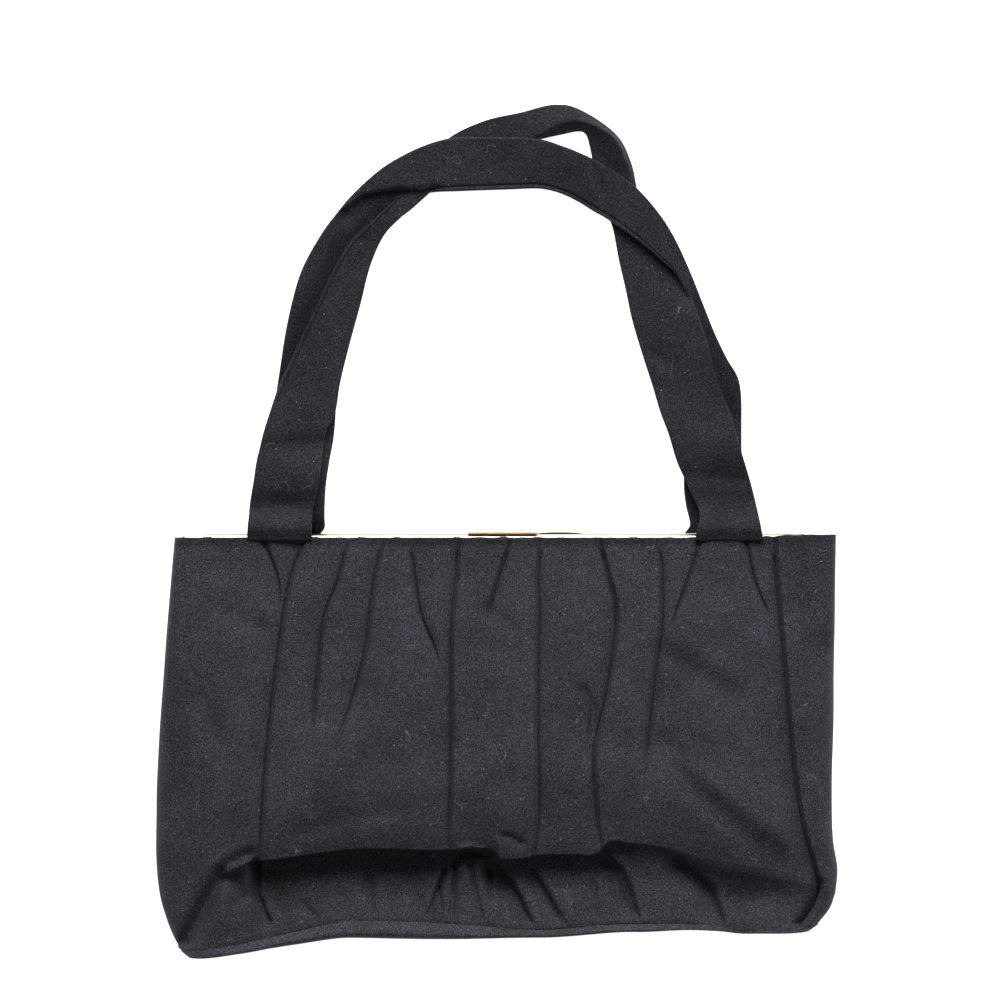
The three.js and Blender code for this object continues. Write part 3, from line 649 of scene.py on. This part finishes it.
def lay_back(column, row):
    seam, outward, out, _ = seam_run(BACK_COLUMNS + 1)
    foot = seam[:, :2] + outward * (BASE_ROWS[-1, 1] * out)[:, None]
    foot = foot[CORNER_COLUMNS:-CORNER_COLUMNS]
    down = row / BACK_ROWS
    across_share = 1 - column / BACK_COLUMNS
    side_ways = np.linspace(0, 2, SIDE_POINTS)
    left, right = (front_place(np.full(SIDE_POINTS, gap), np.full(SIDE_POINTS, share), side_ways)
                   for gap, share in ((0, 0.0), (len(PLEATS) - 2, 1.0)))
    level = mix(TOP_EDGE_Y, mix(left[-1, 1], right[-1, 1], across_share), down)
    x = mix(np.interp(-level, -left[:, 1], left[:, 0]) + BACK_INSET,
            np.interp(-level, -right[:, 1], right[:, 0]) - BACK_INSET, across_share)
    foot_y = np.interp(x, foot[:, 0], foot[:, 1])
    top_y = BACK_TOP_Y + BACK_HUMP * np.exp(-((x - BACK_HUMP_X) / BACK_HUMP_WIDTH) ** 4)
    at_corner = ease(np.abs(x - BACK_MIDDLE_X), *BACK_CORNER)
    top_y = mix(top_y, TOP_EDGE_Y - BACK_CORNER_DROP, at_corner)
    y = mix(top_y, foot_y, down)
    from_side = np.minimum(across_share, 1 - across_share) * BACK_TURN_AT_SIDE
    flat = np.clip(np.minimum(from_side, (1 - down) * BACK_TURN_AT_FOOT), 0, 1)
    z = BACK_Z + BACK_TURN_UP * (1 - flat) + crumple(np.stack((x, y, 0 * x), axis=1), BACK_DENTS)
    return np.stack((x, y, z), axis=1)


back = finish_piece(cloth_grid(BACK_COLUMNS, BACK_ROWS, lay_back), "back_cloth", crepe)
wall_of(back)
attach(back, "root")
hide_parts("back_panel")

# Frame halves: two bent brass channels, gilt, that clamp the mouth of the bag.
# Only their rounded lips show between the front and back cloth.
FRAME_BAR = 7
FRAME_ARM = 5
FRAME_EDGE = 1.4
PLEAT_SPACE = 1.3
SHARP_ANGLE = 1.0


def worn_gilt(name, colour, roughness):
    """Gilt brass: polished, rubbed paler where it is handled, with fine scratches."""
    material, nodes, links, bsdf = shader(name)
    bsdf.inputs["Metallic"].default_value = 1.0
    place = nodes.new("ShaderNodeTexCoord")
    rubbed = nodes.new("ShaderNodeTexNoise")
    rubbed.inputs["Scale"].default_value = 60
    rubbed.inputs["Detail"].default_value = 4
    links.new(place.outputs["Object"], rubbed.inputs["Vector"])
    tone = nodes.new("ShaderNodeValToRGB")
    tone.color_ramp.elements[0].position = 0.35
    tone.color_ramp.elements[0].color = (*(0.8 * c for c in colour), 1)
    tone.color_ramp.elements[1].position = 0.7
    tone.color_ramp.elements[1].color = (*colour, 1)
    links.new(rubbed.outputs["Fac"], tone.inputs["Fac"])
    links.new(tone.outputs["Color"], bsdf.inputs["Base Color"])
    stretch = nodes.new("ShaderNodeMapping")
    stretch.inputs["Scale"].default_value = (60, 900, 900)
    links.new(place.outputs["Object"], stretch.inputs["Vector"])
    scratch = nodes.new("ShaderNodeTexNoise")
    scratch.inputs["Scale"].default_value = 3
    links.new(stretch.outputs["Vector"], scratch.inputs["Vector"])
    dull = nodes.new("ShaderNodeMapRange")
    dull.inputs["To Min"].default_value = roughness * 0.7
    dull.inputs["To Max"].default_value = roughness * 1.5
    links.new(scratch.outputs["Fac"], dull.inputs["Value"])
    links.new(dull.outputs["Result"], bsdf.inputs["Roughness"])
    return material


def box_of(bm, low, high):
    made = bmesh.ops.create_cube(bm, size=1)
    size = Vector(high) - Vector(low)
    bmesh.ops.scale(bm, verts=made["verts"], vec=size)
    bmesh.ops.translate(bm, verts=made["verts"], vec=(Vector(low) + Vector(high)) / 2)
    return made["verts"]


def round_edges(bm, edges, radius, segments):
    bmesh.ops.bevel(bm, geom=edges, offset=radius * MM, offset_type="OFFSET", affect="EDGES",
                    segments=segments, profile=0.5, material=-1)


pale_gilt = worn_gilt("pale_gilt", (0.90, 0.82, 0.62), 0.3)
for node in ("frame_front", "frame_back"):
    low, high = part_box(node)
    if node == "frame_front":
        high.z -= PLEAT_SPACE * MM
    bm = bmesh.new()
    box_of(bm, (low.x, high.y - FRAME_BAR * MM, low.z), high)
    for x in (low.x + FRAME_ARM * MM, high.x - FRAME_ARM * MM):
        whole = bm.verts[:] + bm.edges[:] + bm.faces[:]
        bmesh.ops.bisect_plane(bm, geom=whole, plane_co=(x, 0, 0), plane_no=(1, 0, 0))
    bar_middle_x = (low.x + high.x) / 2
    arm_from = (high.x - low.x) / 2 - FRAME_ARM * MM
    lower = [f for f in bm.faces if f.normal.y < -0.9]
    feet = [f for f in lower if abs(f.calc_center_median().x - bar_middle_x) > arm_from]
    arms = bmesh.ops.extrude_discrete_faces(bm, faces=feet)["faces"]
    ends = list({v for f in arms for v in f.verts})
    bmesh.ops.translate(bm, verts=ends, vec=(0, low.y - high.y + FRAME_BAR * MM, 0))
    corners = [e for e in bm.edges if len(e.link_faces) == 2 and e.calc_face_angle() > SHARP_ANGLE]
    round_edges(bm, corners, FRAME_EDGE, 5)
    for face in bm.faces:
        face.smooth = True
    half = finish_piece(bm, node + "_metal", pale_gilt)
    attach(half, "root")
    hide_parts(node)

# Hinges: a plain gilt brass barrel with rounded ends at the foot of the frame's
# arms, hidden inside the bag at each side.
HINGE_SIDES = 32
HINGE_EDGE = 0.5
for node in ("left_hinge", "right_hinge"):
    low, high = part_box(node)
    bm = bmesh.new()
    radius = (high.y - low.y) / 2
    turned = Matrix.Translation((low + high) / 2) @ Matrix.Rotation(math.pi / 2, 4, "Y")
    bmesh.ops.create_cone(bm, cap_ends=True, segments=HINGE_SIDES, radius1=radius, radius2=radius,
                          depth=high.x - low.x, matrix=turned)
    rims = [e for e in bm.edges if e.calc_face_angle() > SHARP_ANGLE]
    round_edges(bm, rims, HINGE_EDGE, 3)
    for face in bm.faces:
        face.smooth = True
    barrel = finish_piece(bm, node + "_metal", pale_gilt)
    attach(barrel, "root")
    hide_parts(node)

# Clasp: one gilt brass plate over the middle of both frame bars, its front edge
# cut back in a bright bevel to lift it by.
CLASP_THICKNESS = 0.75
CLASP_BEVEL = 0.62
CLASP_EDGE = 0.06
yellow_gilt = worn_gilt("yellow_gilt", (0.95, 0.69, 0.30), 0.24)
low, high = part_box("clasp")
high.y = low.y + CLASP_THICKNESS * MM
bm = bmesh.new()
box_of(bm, low, high)
plate_middle = (low + high) / 2
lifted = [e for e in bm.edges
          if all(v.co.y > plate_middle.y and v.co.z > plate_middle.z for v in e.verts)]
round_edges(bm, lifted, CLASP_BEVEL, 1)
round_edges(bm, [e for e in bm.edges if e.calc_face_angle() > SHARP_ANGLE], CLASP_EDGE, 2)
clasp = finish_piece(bm, "clasp_metal", yellow_gilt)
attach(clasp, "root")
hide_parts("clasp")

# Handles: two flat straps of the same crepe, sewn as tubes and pressed, one fixed
# at the front of the mouth and one behind it. A sewn rim shows along one edge. They
# lie limp: the front one over the back one at both legs, and under it at the top.
STRAP_WIDTH = 25
STRAP_THICKNESS = 2.8
STRAP_EDGE = 0.9
STRAP_FOOT = 0.2
STRAP_FOOT_RUN = 6
STRAP_STEPS = 420
FACE_POINTS = 45
RIM_WIDTH = 1.1
RIM_SPREAD = 0.7
RIM_HEIGHT = 0.4
RIM_RUN_OUT = 9
CHANNEL_PLACE = 2.3
CHANNEL_SPREAD = 0.45
CHANNEL_DEPTH = 2
RIDGE_ROUND = 0.02
RIDGE_TOP = 0.14
STRAP_DENTS = ((22, 22, 0.5), (8, 8, 0.2))
TABLE_GAP = 0.05
SEAM_MERGE = 0.00002
# Stations from the left foot over the arch to the right foot: X and Y of the
# outer edge, X and Y of the inner edge, and the underside at each edge.
HANDLES = {
    "back_handle": (
        (-99.7, -0.8, -75.2, -1.2, 0, 0), (-99.7, 1.4, -73.3, 1.2, 0, 1.6),
        (-99.7, 6.4, -73.2, 6.4, 0.6, 6), (-99.7, 12, -73.1, 12, 0.8, 6.4),
        (-99.4, 20, -72.6, 20, 0.8, 5.4), (-98.8, 30.3, -71.2, 29.5, 1, 3.4),
        (-97.1, 44, -69.2, 41, 3.4, 2), (-93.9, 58.8, -68.4, 55, 6.2, 2.4),
        (-92, 70.2, -72, 71, 7, 2.6), (-89.9, 83.4, -71, 84.5, 7.2, 2.6),
        (-86.7, 98.4, -67, 98.5, 7.2, 2.6), (-82.5, 111.8, -62, 110.1, 7.2, 2.6),
        (-73.8, 127.4, -55.4, 121.1, 6.4, 2.4), (-68.1, 135, -50.6, 127, 6.4, 3),
        (-62.7, 141.6, -46, 132.6, 6.4, 3.8), (-54.6, 149.5, -40.3, 138.1, 6.4, 4.6),
        (-46.6, 155.8, -34.8, 142.1, 6.4, 4.6), (-33.4, 162.8, -27.6, 144, 6.4, 4),
        (-20.6, 166.8, -17.8, 144.4, 6.6, 3.6), (-5.1, 167.3, -5.1, 144.9, 6.6, 3.2),
        (6.4, 167.3, 6.4, 145.3, 6.2, 2.6), (18.2, 166.5, 16.1, 145.7, 5.4, 2),
        (29.3, 163.1, 25.9, 144, 4.6, 1.6), (38.6, 159.2, 35, 139.8, 4.4, 1.8),
        (44, 156.4, 41, 136, 5.2, 3.4), (49.6, 152.9, 45.6, 133.4, 6, 4.4),
        (59, 146.1, 54.3, 127.5, 6, 4.4), (69.1, 134.7, 62.8, 121.1, 5, 4.2),
        (75.5, 124.5, 69.1, 115.6, 4, 4), (82.3, 109.7, 76.4, 108.5, 2.8, 3.4),
        (87.8, 96.1, 81.4, 97, 1.4, 1.6), (92.9, 83.4, 83.4, 84.4, 2.4, 1.4),
        (97.6, 73.6, 84.5, 73.6, 3.2, 1.6), (102.7, 64.3, 86, 60.5, 3.2, 1.6),
        (103.9, 50.7, 84, 48, 2.4, 1.4), (103.9, 37.5, 80, 33.7, 0.8, 0.6),
        (105.2, 21.8, 79.4, 20, 0, 0), (107.3, 9.1, 80.4, 10.5, 0, 0), (107.6, 3.4, 82, 3, 0, 0),
        (107.8, -0.8, 79.6, -0.8, 0, 0)),
    "front_handle": (
        (-105.9, -3.9, -78.5, -3.9, 15.5, 15.5), (-105.8, 0, -78.5, 0, 15.4, 15.4),
        (-105.6, 3, -78.4, 3, 14.6, 14.6), (-105.3, 6.2, -78.3, 6.2, 11.4, 11.4),
        (-105.1, 9.4, -78, 9.4, 8.3, 8.3), (-104.7, 13, -77.2, 13, 8.6, 8.6),
        (-103.9, 17.6, -76.3, 17.6, 10.2, 10.2), (-103, 23, -75.2, 23.6, 10.8, 10.6),
        (-102, 30, -74.3, 31, 9, 8.6), (-100.6, 36, -73.6, 37, 6.6, 6.4),
        (-99.4, 41, -72.8, 42, 7, 6.6), (-97.1, 48.6, -69, 49.4, 6.2, 5.6),
        (-92.5, 62.1, -66.6, 63, 4.8, 3), (-86.1, 76.1, -62.8, 78.7, 4.8, 2),
        (-77.2, 94.8, -58.1, 96.1, 4.8, 1.4), (-69.6, 110.9, -53.4, 114.3, 4.6, 1.2),
        (-62.4, 122.4, -47.9, 126.2, 4.4, 1.4), (-52.6, 132.1, -41.1, 133.4, 3.8, 1.2),
        (-46.2, 138.1, -36, 137.2, 2.6, 0.8), (-41, 143, -28.4, 144, 0.6, 0),
        (-36.1, 152, -22.1, 149, 0, 0), (-20.4, 167.3, -7.2, 157.6, 0, 0),
        (-5.1, 174.6, 5.5, 162.7, 0.3, 0), (9.8, 178, 18.2, 166.5, 0.5, 0),
        (25, 181.4, 27.6, 168.6, 0.5, 0), (32.6, 180.4, 34.4, 169.9, 0.5, 0),
        (43.8, 174.3, 37.8, 168.6, 1, 0), (52.2, 166.9, 39.5, 163.1, 1, 0),
        (57.3, 156, 40.7, 156.7, 0.5, 0), (59.8, 144.4, 42, 150, 0.2, 0),
        (62.8, 135.5, 44.5, 142.3, 0, 0), (70, 125.4, 46.7, 135.5, 0, 0), (76, 113, 49.2, 128.7, 0, 0),
        (82.6, 100.4, 51.8, 115.2, 0.6, 0), (86.4, 89.5, 54.6, 103, 3.4, 0.8),
        (89.6, 79.3, 57.2, 90.6, 4.6, 1.6), (93.3, 64.3, 61.3, 76.6, 4.8, 2.4),
        (98.8, 50.7, 66.3, 60.9, 6.4, 4), (101.4, 42, 69.2, 51, 8.6, 7),
        (103.5, 34.5, 72.7, 41.5, 10.6, 10), (105.8, 27, 76.4, 29.4, 10.4, 10.2),
        (108, 19.5, 80.6, 20.4, 8.6, 8.6), (109.4, 14, 83.4, 14, 7.4, 7.4),
        (110.4, 9.6, 85.6, 9.6, 8.4, 8.4), (111.2, 5.6, 86, 5.6, 11.8, 11.8),
        (112, 1.6, 85, 1.6, 15, 15), (112.5, -1.4, 84.2, -1.4, 15.5, 15.5),
        (112.9, -3.9, 83.8, -3.9, 15.5, 15.5)),
}
# Ridge pressed along a strap where it is turned at the top: X of the outer edge
# there, share across the strap, and height.
RIDGES = {
    "back_handle": ((-100, 0.5, 0), (108, 0.5, 0)),
    "front_handle": ((-5.1, 0.9, 0), (9.8, 0.85, 2), (25, 0.62, 5), (32.2, 0.58, 6.5), (42.4, 0.4, 7.5),
                     (50.9, 0.18, 7.5), (56.4, 0.15, 5), (59.8, 0.1, 1.5), (62.8, 0.1, 0)),
}
# Where a sewn rim shows: its edge (1 inner, -1 outer), and X of the outer edge
# at its start and end.
RIM_RUNS = {"back_handle": (1, -66, 92), "front_handle": (-1, -100, -38)}
# Hollows across a strap, set out like the folds of the front: where the other
# strap's edge presses it, and where it gives way above its foot.
DIPS = {
    "back_handle": (
        dict(deep=5, right=3, left=20, points=((-79.6, 28), (-79.6, -3))),
        dict(deep=4.6, right=9, left=0.9, points=(
            (-30, 145.2), (-45, 144.4), (-57, 142), (-63.5, 136.5))),
        dict(deep=2.6, right=3.2, left=12, points=(
            (85.6, 92), (89.6, 79.3), (93.3, 64.3), (98.8, 50.7))),
        dict(deep=6.2, right=16, left=4.2, points=(
            (-52.6, 132.1), (-62.4, 122.4), (-69.6, 110.9), (-77.2, 94.8),
            (-86.1, 76.1), (-92.5, 62.1), (-96, 50))),
        dict(deep=0.8, right=1.2, left=2.6, points=((40, 158.5), (45.5, 145), (49, 132)))),
    "front_handle": (
        dict(deep=1.5, right=4, left=4.5, points=((-90, 37), (-78, 38.4))),
        dict(deep=1.3, right=4, left=4.5, points=((-94, 12), (-87, 11.4))),
        dict(deep=1.6, right=4, left=4, points=((67, 75.5), (75, 70.8))),
        dict(deep=1.6, right=6, left=4, points=((80, 24), (104, 22)))),
}


def strap_ring(width, rim_side):
    """Shares across and of the half thickness round a strap's section, and what
    a sewn rim with the channel inside it adds along one edge."""
    shares = np.sin(np.linspace(-np.pi / 2, np.pi / 2, FACE_POINTS))
    from_edge = (1 - np.abs(shares)) * width / 2
    inside = np.clip(from_edge / STRAP_EDGE, 0, 1)
    thick = np.sqrt(inside * (2 - inside))
    raised = np.exp(-((from_edge - RIM_WIDTH) / RIM_SPREAD) ** 2)
    channel = CHANNEL_DEPTH * np.exp(-((from_edge - CHANNEL_PLACE) / CHANNEL_SPREAD) ** 2)
    rim = RIM_HEIGHT * (raised - channel) * (shares * rim_side > 0)
    lower = slice(-2, None, -1)
    return (np.concatenate((shares, shares[lower])), np.concatenate((thick, -thick[lower])),
            np.concatenate((rim, -rim[lower])))


def lay_strap(stations, ridge, dips, rim_run):
    stations, ridge = np.array(stations, float), np.array(ridge, float)
    centre_line = (stations[:, :2] + stations[:, 2:4]) / 2
    knots = np.concatenate(([0], np.cumsum(np.linalg.norm(np.diff(centre_line, axis=0), axis=1))))
    run = np.linspace(0, knots[-1], STRAP_STEPS + 1)
    outer_x, outer_y, inner_x, inner_y, outer_z, inner_z = (
        curve_through(run, knots, stations[:, k]) for k in range(6))
    outer = np.stack((outer_x, outer_y, np.maximum(outer_z, 0)), axis=1)
    inner = np.stack((inner_x, inner_y, np.maximum(inner_z, 0)), axis=1)
    half = STRAP_THICKNESS / 2
    foot = mix(STRAP_FOOT, 1, ease(np.minimum(run, run[-1] - run), 0, STRAP_FOOT_RUN))
    face = np.cross(inner - outer, np.gradient((outer + inner) / 2, axis=0))
    face /= np.linalg.norm(face, axis=1)[:, None]
    crest, height = (curve_through(outer_x, ridge[:, 0], ridge[:, k]) for k in (1, 2))
    height = np.where((outer_x > ridge[0, 0]) & (outer_x < ridge[-1, 0]), height, 0)
    rim_side, rim_start, rim_end = rim_run
    side, up, rim = strap_ring(STRAP_WIDTH, rim_side)
    rim_starts = ease(outer_x, rim_start, rim_start + RIM_RUN_OUT)
    rimmed = rim_starts * (1 - ease(outer_x, rim_end - RIM_RUN_OUT, rim_end))

    def place(column, row):
        share = (side[column] + 1) / 2
        points = mix(outer[row], inner[row], share[:, None])
        slope = np.where(share < crest[row], share / crest[row], (1 - share) / (1 - crest[row]))
        crease = 1 - np.sqrt((1 - slope) ** 2 + RIDGE_ROUND) + RIDGE_TOP
        points[:, 2] += half * foot[row] + height[row] * crease
        for dip in dips:
            points[:, 2] -= fold_depth(points[:, 0], points[:, 1], dip)
        thick = up[column] + rim[column] * rimmed[row]
        points += face[row] * (thick * half * foot[row])[:, None]
        points[:, 2] += crumple(points * (1, 1, 0), STRAP_DENTS)
        points[:, 2] = np.maximum(points[:, 2], TABLE_GAP)
        return points
    return place


# The straps are the same crepe at a darker tone: painted shade, standing in for the shade they lie in.
painted_shade_strap_crepe = wool_crepe("painted_shade_strap_crepe", 0.62)
for node, stations in HANDLES.items():
    name = node + "_strap"
    ring = 2 * FACE_POINTS - 2
    bm = cloth_grid(ring, STRAP_STEPS, lay_strap(stations, RIDGES[node], DIPS[node], RIM_RUNS[node]))
    bmesh.ops.remove_doubles(bm, verts=bm.verts, dist=SEAM_MERGE)
    bmesh.ops.holes_fill(bm, edges=[e for e in bm.edges if e.is_boundary], sides=0)
    bmesh.ops.recalc_face_normals(bm, faces=bm.faces)
    strap = finish_piece(bm, name, painted_shade_strap_crepe)
    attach(strap, "root")
    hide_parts(node)

# Floor, light and camera: a white table, faintly lit through, under soft light
# from beyond the handles, seen from straight above as in the photograph.
FLOOR_SIZE = 6.0
FLOOR_GLOW = 0.92
FLOOR_DROP = 0.0005
STUDIO_LIGHT = 0.22
KEY_LENGTH, KEY_DEPTH = 2.0, 1.2
KEY_WATTS = 76
KEY_PLACE = (0.2, 1.55, 1.55)
floor_mesh = bmesh.new()
bmesh.ops.create_grid(floor_mesh, x_segments=1, y_segments=1, size=FLOOR_SIZE / 2)
bmesh.ops.translate(floor_mesh, verts=floor_mesh.verts, vec=(0, 0, -FLOOR_DROP))
white, _, _, bsdf = shader("white_table")
bsdf.inputs["Base Color"].default_value = (0.9, 0.9, 0.9, 1)
bsdf.inputs["Roughness"].default_value = 0.9
bsdf.inputs["Emission Color"].default_value = (1, 1, 1, 1)
bsdf.inputs["Emission Strength"].default_value = FLOOR_GLOW
floor = finish_piece(floor_mesh, "white_table", white)

world = bpy.data.worlds.new("studio")
world.use_nodes = True
world.node_tree.nodes["Background"].inputs["Color"].default_value = (1, 1, 1, 1)
world.node_tree.nodes["Background"].inputs["Strength"].default_value = STUDIO_LIGHT
bpy.context.scene.world = world
bpy.context.scene.view_settings.view_transform = "Standard"

key = bpy.data.lights.new("key", "AREA")
key.shape = "RECTANGLE"
key.size, key.size_y = KEY_LENGTH, KEY_DEPTH
key.energy = KEY_WATTS
key_object = bpy.data.objects.new("key", key)
key_object.location = KEY_PLACE
key_object.rotation_euler = (-Vector(KEY_PLACE)).to_track_quat("-Z", "Y").to_euler()
bpy.context.scene.collection.objects.link(key_object)

PIXEL = 0.4242 * MM
FRAME_PIXELS = 1000
ORIGIN_PIXEL_X, ORIGIN_PIXEL_Y = 497, 531.5
CAMERA_HEIGHT = 5.0
FOCUS_HEIGHT = 0.01
camera = bpy.data.cameras.new("camera")
camera.sensor_width = 36
camera.lens = camera.sensor_width * (CAMERA_HEIGHT - FOCUS_HEIGHT) / (PIXEL * FRAME_PIXELS)
camera_object = bpy.data.objects.new("camera", camera)
middle_pixel = FRAME_PIXELS / 2
camera_object.location = (
    (middle_pixel - ORIGIN_PIXEL_X) * PIXEL, (ORIGIN_PIXEL_Y - middle_pixel) * PIXEL, CAMERA_HEIGHT)
bpy.context.scene.collection.objects.link(camera_object)
bpy.context.scene.camera = camera_object
